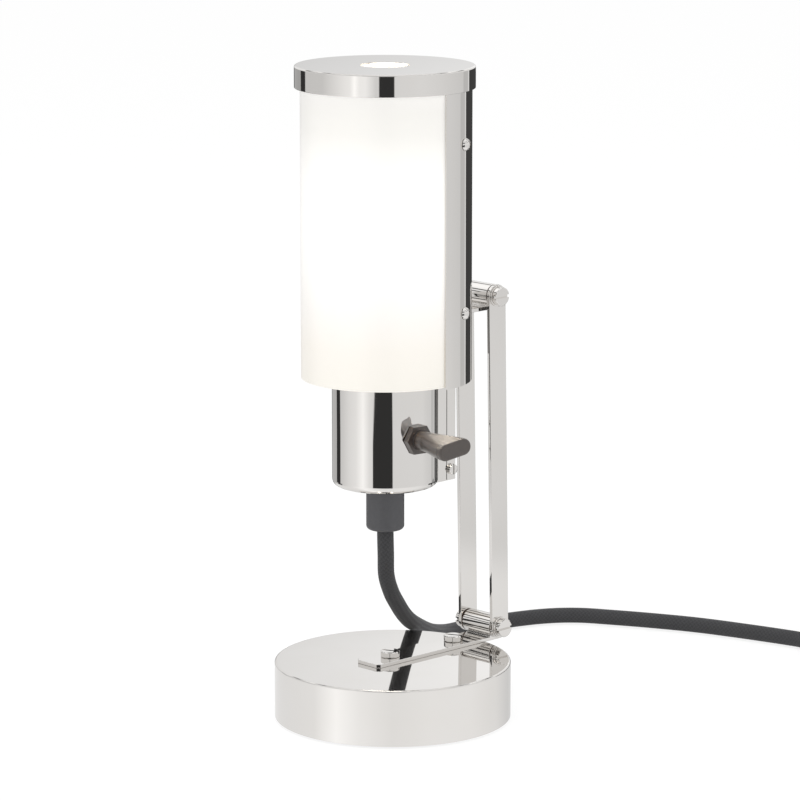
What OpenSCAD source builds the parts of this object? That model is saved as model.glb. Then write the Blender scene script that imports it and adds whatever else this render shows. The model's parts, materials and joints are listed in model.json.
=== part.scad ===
// Adjustable table lamp: a weighted drum base, an arm of two flat bars on two barrel hinges, and an
// upright shade. The shade is an opal glass front held in a half-round metal shell, with a loose cap.
// Below it hangs a lampholder with a rotary switch and a textile cord.
// Millimetres. The origin is the centre of the base's underside, +Z is up, the glass faces -Y.

/* [Base] */
// Diameter of the base drum
base_d = 100; // [90:1:130]
// Height of the base's top face over the table
base_h = 24.5; // [20:0.5:36]
// Side wall of the base shell
base_wall = 2; // [1.5:0.1:4]
// Top wall of the base shell
base_top_t = 2.5; // [1.5:0.1:5]
// Radius of the base shell's top edge
base_edge_r = 0.8; // [0.3:0.1:1.4]
// Gap between the base shell's rim and the table
base_lift = 0.6; // [0.3:0.1:1.1]
// Thickness of the felt pad under the base
pad_t = 1.5; // [1.2:0.1:3]
// Thickness of the plate that closes the base
plate_t = 1.5; // [1.2:0.1:3]
// Shank diameter of the closing plate's screws
plate_screw_d = 3; // [2.5:0.1:4]
// Length of the closing plate's screws
plate_screw_l = 9; // [6:0.5:12]

/* [Hinge straps] */
// Width of both straps
strap_w = 14; // [11:0.5:15]
// Thickness of both straps
strap_t = 1.6; // [1.2:0.1:2.4]
// Reach of the lower strap in front of the base axis
strap_reach = 15; // [10:0.5:24]
// Chamfer of the lower strap's front corners
strap_chamfer = 1.5; // [0.5:0.1:4]
// Place of the lower strap's front screw, in front of the base axis
strap_screw_front = 1.5; // [0:0.5:4]
// Distance of the lower strap's rear screw from the base's rim
strap_screw_in = 14; // [11:0.5:20]
// Overhang of the lower pivot past the base's rim
pivot_overhang = 4.5; // [3:0.5:8]
// Height of the upper strap's bent flange
flange_h = 36; // [28:1:44]
// Height of the upper strap's lower screw over the flange's foot
flange_screw_z = 12; // [10:0.5:14]
// Spacing of the upper strap's screws
flange_screw_gap = 16; // [10:0.5:18]

/* [Hinge barrels and pivots] */
// Outer diameter of the hinge barrels
barrel_d = 9.6; // [8.5:0.1:11]
// Diameter of the axles
axle_d = 5; // [4.4:0.1:5.6]
// Width of the saddle under each barrel
saddle_w = 6; // [4:0.5:7]
// Depth to which a barrel is let into its strap
barrel_sink = 0.2; // [0.1:0.05:0.4]
// Thickness of the friction discs beside each barrel
disc_t = 0.5; // [0.3:0.1:1]
// Diameter of the washers under the pivot screws
washer_d = 9; // [8.4:0.1:9.6]
// Thickness of those washers
washer_t = 0.7; // [0.5:0.1:1.2]
// Shank diameter of the pivot screws
pivot_screw_d = 3; // [2.5:0.1:3.4]
// Shank length of the pivot screws inside the axle
pivot_screw_l = 6; // [4:0.5:8]

/* [Cheese-head screws] */
// Head diameter of the large slotted screws
head_d = 8; // [6.5:0.1:8.4]
// Rounding of the screw heads' edges
head_edge = 0.4; // [0.2:0.1:0.6]
// Head height of the pivot screws
pivot_head_h = 2.4; // [1.8:0.1:3]
// Head height of the lower strap's screws
strap_head_h = 2.6; // [1.8:0.1:3.2]
// Shank diameter of the lower strap's screws
strap_screw_d = 4; // [3:0.1:4.6]
// Shank length of the lower strap's screws
strap_screw_l = 13; // [9:0.5:16]
// Slot width of the large screws
slot_w = 1.2; // [0.8:0.1:1.6]
// Slot depth of the large screws
slot_depth = 1.2; // [0.8:0.1:1.4]

/* [Arm] */
// Distance between the two pivots
arm_len = 145; // [130:1:170]
// Forward lean of the arm at rest, in degrees
arm_lean = 1.1; // [0:0.1:3]
// Width of a bar
bar_w = 9.8; // [8.8:0.1:12]
// Thickness of a bar
bar_t = 1.6; // [1.2:0.1:2.4]
// Clear width between the bars
arm_gap = 17.4; // [16:0.1:22]

/* [Shade] */
// Distance of the shade's axis in front of the upper pivot
head_offset = 56; // [53:0.5:64]
// Outer diameter of the metal shell
shade_d = 72; // [70:0.5:78]
// Height of the metal shell
shade_h = 129.9; // [120:0.5:150]
// Drop from the upper pivot to the shade's lower edge
shade_drop = 29.3; // [24:0.5:34]
// Thickness of the metal shell
shell_t = 0.8; // [0.6:0.1:1.2]
// Thickness of the opal glass
glass_t = 3; // [2:0.1:4]
// Half of the angle that the glass spans, in degrees
glass_half_a = 105; // [100:0.5:106]
// Diameter of the cap
cap_d = 74.7; // [74.5:0.1:82]
// Height of the cap's skirt
cap_h = 9.2; // [6:0.1:14]
// Sheet thickness of the cap
cap_t = 1; // [0.6:0.1:1.2]
// Radius of the cap's top edge
cap_edge_r = 0.7; // [0.4:0.1:2]
// Diameter of the vent in the cap
vent_d = 20.4; // [14:0.2:30]

/* [Glass clips] */
// Sheet thickness of a clip's lip
clip_t = 1.2; // [0.8:0.1:1.6]
// Thickness of a clip's pad against the shell
clip_pad_t = 2.1; // [1.6:0.1:2.6]
// Width of a clip's pad along the shell
clip_pad_w = 6.1; // [5:0.1:8]
// Width of a clip's lip along the glass
clip_lip_w = 4.7; // [3:0.1:6]
// Distance of the clip screws from each end of the shell
clip_screw_z = 30; // [20:1:45]
// Head diameter of the clip screws
clip_head_d = 5.4; // [3.6:0.1:5.8]
// Height of those domed heads
clip_head_h = 2.2; // [1.2:0.1:2.4]
// Shank diameter of the clip screws
clip_screw_d = 2; // [1.6:0.1:2.4]
// Thickness of the foot under the glass
foot_t = 0.8; // [0.6:0.1:1.2]

/* [Spine and bracket] */
// Outer width of the channel behind the lampholder
spine_w = 14; // [12:0.5:14.5]
// Sheet thickness of the channel
spine_t = 1.2; // [0.8:0.1:1.6]
// Depth of the channel's side flanges
spine_depth = 5; // [4:0.1:6]
// Rise of the channel over the upper strap's flange
spine_over = 5.8; // [4:0.2:12]
// Drop of the channel below the housing
spine_drop = 1.9; // [0:0.1:4]
// Height of the lower bracket screws over the channel's foot
bracket_screw_z = 4.7; // [4:0.1:8]
// Spacing of the bracket screws
bracket_screw_gap = 11; // [9:0.5:16]

/* [Lampholder] */
// Outer diameter of the housing
housing_d = 44.4; // [42:0.2:48]
// Sheet thickness of the housing
housing_t = 1.2; // [0.8:0.1:1.8]
// Fillet of the housing's lower edge
housing_fillet = 3; // [2:0.1:5]
// Drop of the housing below the shade
housing_drop = 45.2; // [42:0.2:52]
// Rise of the housing inside the shade
housing_rise = 6; // [3:0.5:10]
// Diameter of the socket's metal thread shell
socket_d = 28.2; // [27.8:0.1:29]
// Wall of the thread shell
socket_t = 0.6; // [0.4:0.1:0.9]
// Diameter of the bulb
bulb_d = 55; // [45:1:57]
// Length of the bulb with its cap
bulb_len = 100; // [92:1:110]
// Wall of the bulb's glass
bulb_t = 1; // [0.6:0.1:1.5]

/* [Switch] */
// Angle of the switch from the front, in degrees
switch_a = 82; // [60:1:90]
// Height of the switch over the housing's foot
switch_rise = 23; // [20:0.2:26]
// Diameter of the switch spindle
spindle_d = 5; // [4:0.1:5.4]
// Outer diameter of the threaded bush
bush_d = 8; // [7.4:0.1:9]
// Width of the hexagon nut across its flats
nut_w = 11.4; // [10.4:0.2:15]
// Thickness of the hexagon nut
nut_t = 2.8; // [2:0.1:4]
// Diameter of the knob's neck
knob_neck_d = 8.2; // [7.2:0.1:9]
// Width of the knob's oval grip
knob_w = 16; // [14:0.5:20]
// Thickness of the knob's oval grip
knob_t = 7; // [6:0.2:9]
// Distance of the knob's end from the housing's surface
knob_reach = 27; // [24:0.5:36]
// Turn of the knob at rest, in degrees
knob_turn = 9; // [0:1:40]

/* [Cord] */
// Outer diameter of the textile cord
cord_d = 7; // [6:0.1:7]
// Diameter of the strain relief
relief_d = 16; // [14:0.2:18]
// Length of the strain relief
relief_l = 19.2; // [17:0.2:24]
// Inner radius of the put-away coil, at the middle of the cord
coil_in_r = 29.2; // [28.5:0.1:30]
// Step between neighbouring turns of the coil
turn_step = 7.7; // [7.6:0.1:8]
// Step between layers of the coil
layer_step = 7.6; // [7.5:0.1:7.8]

/* [Hidden] */
$fn = 72;

// Clearances
seat_gap = 0.05;     // between pieces that are clamped or seated
shank_gap = 0.1;     // round the shanks of screws
run_gap = 0.05;      // radial, between an axle or spindle and its barrel
fit_gap = 0.2;       // between sleeved pieces
glass_gap = 0.2;     // round the glass
join_gap = 0.3;      // between lengths of the cord
over = 1;            // overrun of a cut past the face that it opens

// Colours
NICKEL = [0.80, 0.79, 0.77];
STEEL = [0.62, 0.62, 0.63];
IRON = [0.25, 0.25, 0.26];
FELT = [0.10, 0.10, 0.11];
OPAL = [0.98, 0.97, 0.94];
FIBRE = [0.24, 0.16, 0.11];
PHENOLIC = [0.14, 0.11, 0.10];
PORCELAIN = [0.93, 0.92, 0.88];
BRASS = [0.80, 0.65, 0.36];
TEXTILE = [0.23, 0.23, 0.25];
BLACK = [0.07, 0.07, 0.08];

// Base
base_r = base_d / 2;
base_under = base_h - base_top_t;
inner_r = base_r - base_wall - fit_gap;
plate_z = pad_t + plate_t;
plate_screws_r = inner_r * 0.72;
strap_top = base_h + strap_t;
strap_rear_y = base_r - strap_screw_in;

// Pivots: the lower barrel stands on its strap, and the upper one stands over the lower by the arm
pivot_y = base_r + pivot_overhang;
pivot_z = strap_top + barrel_d / 2 - barrel_sink;
upper_y = pivot_y - arm_len * sin(arm_lean);
upper_z = pivot_z + arm_len * cos(arm_lean);
barrel_len = arm_gap - 2 * (disc_t + seat_gap);
axle_len = arm_gap + 2 * bar_t;
axle_hole_d = axle_d + 2 * run_gap;

// Shade
head_y = upper_y - head_offset;
shade_r = shade_d / 2;
shade_z = upper_z - shade_drop;
shade_top = shade_z + shade_h;
shell_in = shade_r - shell_t;
glass_r = shell_in - glass_gap;
glass_in = glass_r - glass_t;
glass_z = shade_z + foot_t;
cap_top = shade_top + cap_t;

// Glass clips, in polar terms round the shade's axis, with angles from the front
clip_web_t = 1.4;
clip_end_gap = 0.45;
clip_web_a = turn_of(clip_web_t, glass_r);
clip_pad_a = turn_of(clip_pad_w, glass_r);
clip_lip_a = turn_of(clip_lip_w, glass_in);
clip_web_from = glass_half_a + turn_of(clip_end_gap, glass_r);
clip_screw_in = 2.2;
clip_screw_a = clip_web_from + clip_web_a + turn_of(clip_screw_in, glass_r);
clip_pad_to = clip_web_from + clip_web_a + clip_pad_a;
lip_r = glass_in - glass_gap;
pad_r = shell_in - seat_gap;
clip_levels = [shade_z + clip_screw_z, shade_top - clip_screw_z];

// Upper strap
leaf_top = upper_z - barrel_d / 2 + barrel_sink;
leaf_z = leaf_top - strap_t;
flange_r = shade_r + seat_gap;
flange_out = flange_r + strap_t;
flange_front = head_y + shade_r - 3;
flange_levels = [leaf_z + flange_screw_z, leaf_z + flange_screw_z + flange_screw_gap];
flange_screw_d = 2.8;
flange_head_d = 6;
flange_head_h = 2;
flange_nut_w = 5.5;
flange_nut_t = 2.4;
flange_slot_w = 0.9;

// Distance from the shade's axis at which a nut's corners meet the channel's web
nut_seat_r = sqrt(pow(shell_in - seat_gap - spine_t, 2) - pow(flange_nut_w / 2 / cos(30), 2));

// Lampholder
housing_r = housing_d / 2;
housing_in = housing_r - housing_t;
housing_z = shade_z - housing_drop;
housing_top = shade_z + housing_rise;
housing_floor = housing_z + housing_t;
insert_r = housing_in - fit_gap;
switch_z = housing_z + switch_rise;
switch_top = switch_z + bush_d / 2 + 2;
skirt_in = relief_d / 2 + 3;
skirt_h = 6;
insert_chamfer = 2;
wire_way_d = 6;
holder_floor_t = 4;
holder_floor = switch_top + holder_floor_t;
contact_h = 2;
tip_h = 2.5;
tip_d = 9;
bulb_z = holder_floor + contact_h;
bulb_cap_z = bulb_z + tip_h;
bulb_cap_h = 18.5;
bulb_cap_d = socket_d - 2 * socket_t - 2 * fit_gap;
bulb_neck_z = bulb_cap_z + bulb_cap_h;
bulb_mid = bulb_z + bulb_len - bulb_d / 2;
bulb_neck_a = -48;

// Spine
spine_r = shell_in - seat_gap;
spine_z = housing_z - spine_drop;
spine_h = leaf_z + flange_h + spine_over - spine_z;
spine_front = head_y + spine_r * cos(asin(spine_w / 2 / spine_r)) - spine_depth;
tongue_w = spine_w - 2 * spine_t - 2 * seat_gap;
bracket_gap = 0.4;
tongue_back = head_y + spine_r - spine_t - 1;
bracket_top = shade_z;
bracket_levels = [spine_z + bracket_screw_z, spine_z + bracket_screw_z + bracket_screw_gap];
bracket_screw_y = spine_front + spine_depth / 2;
bracket_head_d = 4.6;
bracket_head_h = 1.6;
bracket_screw_d = 2;
bracket_screw_l = 4;

// Switch, with distances from the housing's axis
bush_from = insert_r - 5;
nut_from = housing_r + seat_gap;
bush_to = nut_from + nut_t + 0.6;
knob_from = bush_to + seat_gap;
knob_to = housing_r + knob_reach;
knob_flare_from = knob_from + 4.5;
knob_flare_to = knob_to - 3;
knob_edge = 0.7;
spindle_in = 12;
spindle_from = insert_r - spindle_in;
spindle_out = 9;
spindle_to = knob_from + spindle_out;

// Strain relief
relief_z = housing_z - relief_l;
relief_neck_d = 10;
relief_neck_top = housing_floor + 4;
relief_edge = 1.8;
relief_nut_w = 14;
relief_nut_t = 3;
cord_bore_d = cord_d + 2 * shank_gap;

// Cord: the drop hangs from the strain relief to the base's rim
cord_in = 12;
drop_route = [
    [0, head_y, relief_z + cord_in], [0, head_y, relief_z], [-0.5, -3.5, 71], [-3.9, 0.1, 60.5],
    [-8.8, 7.6, 51], [-14.6, 16.9, 43], [-20.8, 26.4, 36], [-27, 35.9, 30.3], [-32.6, 44.3, 26.2]
];
drop_plane = [0.86, 0.5, 0];
cord_sides = 8;

// Coil: four layers, each of one and a half turns, wound in and out by turns, then a tail on top
coil_mid = [80, 251.5];
coil_start_a = -75;
coil_way = [cos(coil_start_a + 90), sin(coil_start_a + 90), 0];
layers = 4;
layer_turns = 1.5;
coil_turns = layers * layer_turns;
climb_turns = 0.5;
coil_out_r = coil_in_r + layer_turns * turn_step;
coil_z = 4.6;
coil_sides = 6;
coil_rings = 24;
tail_r = 30;
tail_a = 165;
tail_climb = 10;
tail_climb_from = 0.15;
tail_climb_a = 60;
tail_z = coil_z + (layers - 1) * layer_step + tail_climb;

// Run from the base's rim over the table to the coil's start
coil_lead = 2 * cord_d;
run_route = [
    [-32.8, 44.6, 26.05], [-40.5, 56, 20.9], [-48.3, 67.5, 16], [-56.3, 79.2, 11.6], [-63.7, 90.7, 7.9],
    [-69.4, 101.7, 5.1], [-72.1, 112.5, 3.9], [-71.7, 123.5, 3.6], [-69.7, 134.2, 3.6], [-67, 144.6, 3.6],
    [-63.3, 154.6, 3.6], [-58, 163.6, 3.6], [-50.8, 170.9, 3.6], [-42, 176.3, 3.6],
    [-23, 186.5, 3.6], [-2, 196, 3.6], [20, 203, 3.6], [40.8, 208.5, 3.6], [49.8, 209.7, 3.7],
    [58.9, 208.5, 3.9], [68, 207.3, 4.2], coil_point(0) - coil_lead * coil_way,
    coil_point(0) - (cord_d + join_gap) * coil_way
];

// Tie round the coil
tie_a = 195;
tie_w = 8;
tie_t = 0.8;
tie_gap = 0.25;
tie_corner = 3;
tie_in_r = coil_in_r - 1.5 - cord_d / 2;
tie_out_r = coil_out_r + cord_d / 2;
tie_low = coil_z - cord_d / 2 - tie_gap;
tie_high = coil_z + (layers - 1) * layer_step + cord_d / 2 + tie_gap;

// Plug
plug_boot_l = 12;
plug_body_l = 32;
plug_w = 34;
plug_t = 12.6;
plug_back_w = 22;
plug_back_t = 11;
pin_d = 4;
pin_l = 19;
pin_gap = 19;

function unit(v) = v / norm(v);
// The angle that a length takes up on a circle
function turn_of(l, r) = l / r * 180 / PI;
function smooth(t) = let (s = min(1, max(0, t))) s * s * (3 - 2 * s);
function arc(mid, r, from, to, steps = 8) =
    [for (i = [0:steps]) let (a = from + (to - from) * i / steps) mid + r * [cos(a), sin(a)]];

// The way along a list of points, at point i
function heading(points, i) =
    unit(points[min(i + 1, len(points) - 1)] - points[max(i - 1, 0)]);

// Radius of the coil after u turns: a zigzag between the outer and the inner turn
function coil_r(u) =
    let (layer = floor(u / layer_turns), part = u - layer * layer_turns)
    layer % 2 == 0 ? coil_out_r - turn_step * part : coil_in_r + turn_step * part;

// Rise of the coil after u turns: one layer in the half turn round each reversal, then the tail's climb
function coil_rise(u) =
    layer_step * [for (k = [1:layers - 1]) smooth((u - k * layer_turns) / climb_turns + 0.5)]
        * [for (k = [1:layers - 1]) 1]
    + tail_climb * smooth((u - coil_turns + tail_climb_from) / (tail_climb_from + tail_climb_a / 360));

function coil_point(u) =
    let (a = coil_start_a + 360 * u)
    [coil_mid.x + coil_r(u) * cos(a), coil_mid.y + coil_r(u) * sin(a), coil_z + coil_rise(u)];

// The tail leaves the outer turn on a tighter arc, g degrees along it
function tail_point(g) =
    let (a = coil_start_a + 360 * coil_turns, mid = coil_mid + (coil_out_r - tail_r) * [cos(a), sin(a)])
    [mid.x + tail_r * cos(a + g), mid.y + tail_r * sin(a + g), coil_z + coil_rise(coil_turns + g / 360)];

tail_way = [cos(coil_start_a + tail_a + 90), sin(coil_start_a + tail_a + 90), 0];
tail_end = tail_point(tail_a) + cord_d * tail_way;
coil_last = coil_turns * coil_rings - 1;
coil_route = concat(
    [coil_point(0) - cord_d * coil_way],
    [for (i = [0:coil_last]) coil_point(i / coil_rings)],
    [for (i = [0:11]) tail_point(tail_a * i / 11)],
    [tail_end]
);

// Least gap of the coil to itself, between points at least half a turn apart
coil_gap = min([
    for (i = [0:len(coil_route) - 1], j = [i + coil_rings / 2:1:len(coil_route) - 1])
        norm(coil_route[i] - coil_route[j])
]) - cord_d;
echo(coil_gap = coil_gap);

function route_len(points) =
    len(points) < 2 ? 0 : [for (i = [1:len(points) - 1]) norm(points[i] - points[i - 1])]
        * [for (i = [1:len(points) - 1]) 1];
echo(cord_length = route_len(drop_route) + route_len(run_route) + route_len(coil_route));

// Places
module in_arm() { translate([0, pivot_y, pivot_z]) rotate([arm_lean, 0, 0]) children(); }
module at_pivots(upper) { in_arm() translate([0, 0, upper ? arm_len : 0]) children(); }
module on_shade() { translate([0, head_y, 0]) children(); }
module on_switch() {
    translate([0, head_y, switch_z]) rotate([0, 0, switch_a - 90]) rotate([0, 90, 0]) children();
}
// A place on a ray from the shade's axis, at an angle from the front, with +Z outwards
module on_ray(a, z) { translate([0, head_y, z]) rotate([0, 0, a - 90]) rotate([0, 90, 0]) children(); }
module both_sides() { for (side = [0, 1]) mirror([side, 0, 0]) children(); }

// Shapes
module turned(outline) { rotate_extrude() polygon(outline); }
// A wall round the shade's axis from angle a0 to a1, measured from the front towards +X
module arc_wall(r0, r1, a0, a1, z, h) {
    on_shade() translate([0, 0, z]) rotate([0, 0, a0 - 90])
        rotate_extrude(angle = a1 - a0) translate([r0, 0]) square([r1 - r0, h]);
}
// A slotted screw with its head on z = 0 and its shank below
module slotted_screw(d, h, shank_d, shank_l, slot_w, slot_depth) difference() {
    rim = d / 2 - head_edge;
    turned(concat(
        [[0, -shank_l], [shank_d / 2, -shank_l], [shank_d / 2, 0]],
        arc([rim, head_edge], head_edge, -90, 0, 4),
        arc([rim, h - head_edge], head_edge, 0, 90, 4),
        [[0, h]]
    ));
    translate([-d, -slot_w / 2, h - slot_depth]) cube([2 * d, slot_w, slot_depth + over]);
}
module hex_nut(w, t, bore_d) {
    difference() {
        cylinder(d = w / cos(30), h = t, $fn = 6);
        translate([0, 0, -over]) cylinder(d = bore_d, h = t + 2 * over);
    }
}
module along_x(d, l) { rotate([0, 90, 0]) cylinder(d = d, h = l, center = true); }
// A round tube through a list of points; plane is a direction that the route never follows
module tube(points, d, sides, plane) {
    last = len(points) - 1;
    corners = [
        for (i = [0:last]) let (
            t = heading(points, i),
            u = unit(cross(plane, t)),
            v = cross(t, u)
        ) for (j = [0:sides - 1]) points[i] + d / 2 * (cos(360 * j / sides) * u + sin(360 * j / sides) * v)
    ];
    walls = [
        for (i = [0:last - 1], j = [0:sides - 1]) let (
            a = i * sides + j,
            b = i * sides + (j + 1) % sides,
            c = b + sides,
            e = a + sides
        ) for (face = [[a, c, b], [a, e, c]]) face
    ];
    ends = [for (j = [1:sides - 2]) for (face = [
        [0, j, j + 1],
        [last * sides, last * sides + j + 1, last * sides + j]
    ]) face];
    polyhedron(corners, concat(walls, ends), convexity = 10);
}

// Base
module base_shell() color(NICKEL) difference() {
    turned(concat(
        [[base_r - base_wall, base_lift], [base_r, base_lift]],
        arc([base_r - base_edge_r, base_h - base_edge_r], base_edge_r, 0, 90),
        [[0, base_h], [0, base_under], [base_r - base_wall, base_under]]
    ));
    strap_screw_holes(strap_screw_d + 2 * shank_gap);
}
module base_weight() color(IRON) difference() {
    translate([0, 0, plate_z]) cylinder(r = inner_r, h = base_under - plate_z);
    strap_screw_holes(strap_screw_d + 2 * seat_gap);
    plate_screw_places() cylinder(d = plate_screw_d + 2 * seat_gap, h = plate_screw_l + over);
}
module base_plate() color(STEEL) difference() {
    translate([0, 0, pad_t]) cylinder(r = inner_r, h = plate_t);
    plate_screw_places() plate_screw_form(shank_gap);
}
module base_pad() color(FELT) cylinder(r = inner_r - fit_gap, h = pad_t);
module base_screws() color(STEEL) plate_screw_places() plate_screw_form(0);
module plate_screw_places() {
    for (a = [30, 150, 270]) rotate([0, 0, a]) translate([plate_screws_r, 0, pad_t]) children();
}
// A countersunk screw, upside down, grown by a gap all round
module plate_screw_form(gap) {
    cylinder(r1 = plate_screw_d + gap, r2 = plate_screw_d / 2 + gap, h = plate_t);
    translate([0, 0, plate_t / 2]) cylinder(r = plate_screw_d / 2 + gap, h = plate_screw_l - plate_t / 2);
}
module strap_screw_places() {
    for (y = [-strap_screw_front, strap_rear_y]) translate([0, y, strap_top]) children();
}
module strap_screw_holes(d) {
    strap_screw_places() translate([0, 0, -strap_screw_l - shank_gap])
        cylinder(d = d, h = strap_screw_l + strap_t + over);
}
module base_strap() color(NICKEL) difference() {
    union() {
        strap_leaf();
        barrel_on_saddle(strap_top);
    }
    strap_screw_holes(strap_screw_d + 2 * shank_gap);
    translate([0, pivot_y, pivot_z]) along_x(axle_hole_d, barrel_len + 2 * over);
}
module strap_leaf() translate([0, 0, base_h]) {
    side = strap_w / 2;
    back = pivot_y + saddle_w / 2;
    shoulder = -strap_reach + strap_chamfer;
    linear_extrude(strap_t) polygon([
        [-side, back], [-side, shoulder], [-side + strap_chamfer, -strap_reach],
        [side - strap_chamfer, -strap_reach], [side, shoulder], [side, back]
    ]);
}
// A barrel over a saddle that stands on a strap's top face
module barrel_on_saddle(top) {
    z = top + barrel_d / 2 - barrel_sink;
    y = top == strap_top ? pivot_y : upper_y;
    translate([0, y, z]) along_x(barrel_d, barrel_len);
    translate([-strap_w / 2, y - saddle_w / 2, top - strap_t / 2])
        cube([strap_w, saddle_w, z - top + strap_t / 2]);
}
module strap_screws() color(NICKEL) strap_screw_places() rotate([0, 0, 25])
    slotted_screw(head_d, strap_head_h, strap_screw_d, strap_screw_l, slot_w, slot_depth);

// Arm
module arm_bar() difference() {
    union() {
        for (z = [0, arm_len]) translate([0, 0, z]) rotate([0, 90, 0]) cylinder(d = bar_w, h = bar_t);
        translate([0, -bar_w / 2, 0]) cube([bar_t, bar_w, arm_len]);
    }
    for (z = [0, arm_len]) translate([bar_t / 2, 0, z]) along_x(axle_hole_d, bar_t + 2 * over);
}
module arm_bar_right() color(NICKEL) in_arm() translate([arm_gap / 2, 0, 0]) arm_bar();
module arm_bar_left() color(NICKEL) in_arm() translate([-arm_gap / 2 - bar_t, 0, 0]) arm_bar();
module axle(upper) at_pivots(upper) difference() {
    along_x(axle_d, axle_len);
    both_sides() translate([axle_len / 2 - pivot_screw_l - shank_gap, 0, 0]) rotate([0, 90, 0])
        cylinder(d = pivot_screw_d + 2 * seat_gap, h = pivot_screw_l + over);
}
module lower_axle() color(STEEL) axle(false);
module upper_axle() color(STEEL) axle(true);
module pivot_screws(upper) at_pivots(upper) both_sides()
    translate([axle_len / 2 + washer_t, 0, 0]) rotate([0, 90, 0]) rotate([0, 0, 90])
        slotted_screw(head_d, pivot_head_h, pivot_screw_d, pivot_screw_l + washer_t, slot_w, slot_depth);
module lower_pivot_screws() color(NICKEL) pivot_screws(false);
module upper_pivot_screws() color(NICKEL) pivot_screws(true);
// Rings on both sides of the arm, from a distance off its middle plane
module ring_pair(upper, from, t, d, bore_d) at_pivots(upper) both_sides()
    translate([from, 0, 0]) rotate([0, 90, 0]) difference() {
        cylinder(d = d, h = t);
        translate([0, 0, -over]) cylinder(d = bore_d, h = t + 2 * over);
    }
module washers(upper)
    ring_pair(upper, axle_len / 2, washer_t, washer_d, pivot_screw_d + 2 * shank_gap);
module lower_washers() color(NICKEL) washers(false);
module upper_washers() color(NICKEL) washers(true);
module discs(upper) ring_pair(upper, arm_gap / 2 - disc_t, disc_t, barrel_d - 0.4, axle_hole_d);
module lower_discs() color(FIBRE) discs(false);
module upper_discs() color(FIBRE) discs(true);

// Shade
module head_strap() color(NICKEL) difference() {
    union() {
        barrel_on_saddle(leaf_top);
        translate([-strap_w / 2, flange_front, leaf_z])
            cube([strap_w, upper_y + saddle_w / 2 - flange_front, strap_t]);
        intersection() {
            on_shade() translate([0, 0, leaf_z]) cylinder(r = flange_out, h = flange_h);
            translate([-strap_w / 2, flange_front, leaf_z - over])
                cube([strap_w, shade_d, flange_h + 2 * over]);
        }
    }
    on_shade() translate([0, 0, leaf_z - over]) cylinder(r = flange_r, h = flange_h + 2 * over);
    flange_screw_holes();
    translate([0, upper_y, upper_z]) along_x(axle_hole_d, barrel_len + 2 * over);
}
module flange_screw_places() { for (z = flange_levels) on_ray(180, z) children(); }
module flange_screw_holes() flange_screw_places() translate([0, 0, spine_r - spine_depth])
    cylinder(d = flange_screw_d + 2 * shank_gap, h = spine_depth + shell_t + strap_t + 2 * over);
module head_strap_screws() color(NICKEL) flange_screw_places() translate([0, 0, flange_out])
    slotted_screw(flange_head_d, flange_head_h, flange_screw_d, flange_out - spine_r + spine_t + flange_nut_t,
        flange_slot_w, slot_depth);
module head_strap_nuts() color(STEEL) flange_screw_places()
    translate([0, 0, nut_seat_r - flange_nut_t - seat_gap])
        hex_nut(flange_nut_w, flange_nut_t, flange_screw_d + 2 * seat_gap);
module back_shell() color(NICKEL) difference() {
    arc_wall(shell_in, shade_r, 90, 270, shade_z, shade_h);
    clip_screw_holes();
    flange_screw_holes();
}
module clip_screw_places() {
    both_sides() for (z = clip_levels) on_ray(clip_screw_a, z) children();
}
module clip_screw_holes() clip_screw_places() translate([0, 0, pad_r - clip_pad_t - over])
    cylinder(d = clip_screw_d + 2 * seat_gap, h = clip_pad_t + shell_t + 2 * over);
// A domed head, cut from a sphere, over a slotted shank
module clip_screws() color(NICKEL) clip_screw_places() {
    dome_r = (pow(clip_head_d / 2, 2) + pow(clip_head_h, 2)) / (2 * clip_head_h);
    base_z = shade_r + seat_gap;
    difference() {
        union() {
            intersection() {
                translate([0, 0, base_z + clip_head_h - dome_r]) sphere(r = dome_r);
                translate([0, 0, base_z]) cylinder(d = clip_head_d + over, h = clip_head_h + over);
            }
            translate([0, 0, pad_r - clip_pad_t])
                cylinder(d = clip_screw_d, h = base_z - pad_r + clip_pad_t + 0.4);
        }
        translate([-clip_head_d, -0.4, base_z + clip_head_h - 0.7]) cube([2 * clip_head_d, 0.8, over]);
    }
}
module glass_front() color(OPAL)
    arc_wall(glass_in, glass_r, -glass_half_a, glass_half_a, glass_z, shade_top - glass_z);
// A rail whose lip and foot hold the glass and whose pad lies on the shell: one wall with the glass's room
// cut from its front and the room behind the lip cut from its rear
module glass_clip() difference() {
    web_to = clip_web_from + clip_web_a;
    lip_from = glass_half_a - clip_lip_a;
    arc_wall(lip_r - clip_t, pad_r, lip_from, clip_pad_to, shade_z, shade_h);
    arc_wall(lip_r, pad_r + over, lip_from - over, clip_web_from, shade_z + foot_t - seat_gap, shade_h);
    arc_wall(lip_r - clip_t - over, pad_r - clip_pad_t, web_to, clip_pad_to + over, shade_z - over,
        shade_h + 2 * over);
    clip_screw_holes();
}
module glass_clip_right() color(NICKEL) glass_clip();
module glass_clip_left() color(NICKEL) mirror([1, 0, 0]) glass_clip();
module spine() color(NICKEL) difference() {
    intersection() {
        on_shade() translate([0, 0, spine_z]) cylinder(r = spine_r, h = spine_h);
        translate([-spine_w / 2, spine_front, spine_z - over]) cube([spine_w, shade_d, spine_h + 2 * over]);
    }
    intersection() {
        on_shade() translate([0, 0, spine_z - over]) cylinder(r = spine_r - spine_t, h = spine_h + 2 * over);
        translate([-spine_w / 2 + spine_t, spine_front - over, spine_z - 2 * over])
            cube([spine_w - 2 * spine_t, shade_d, spine_h + 4 * over]);
    }
    flange_screw_holes();
    bracket_screw_places() translate([0, 0, -bracket_screw_l])
        cylinder(d = bracket_screw_d + 2 * shank_gap, h = bracket_screw_l + over);
}
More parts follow.
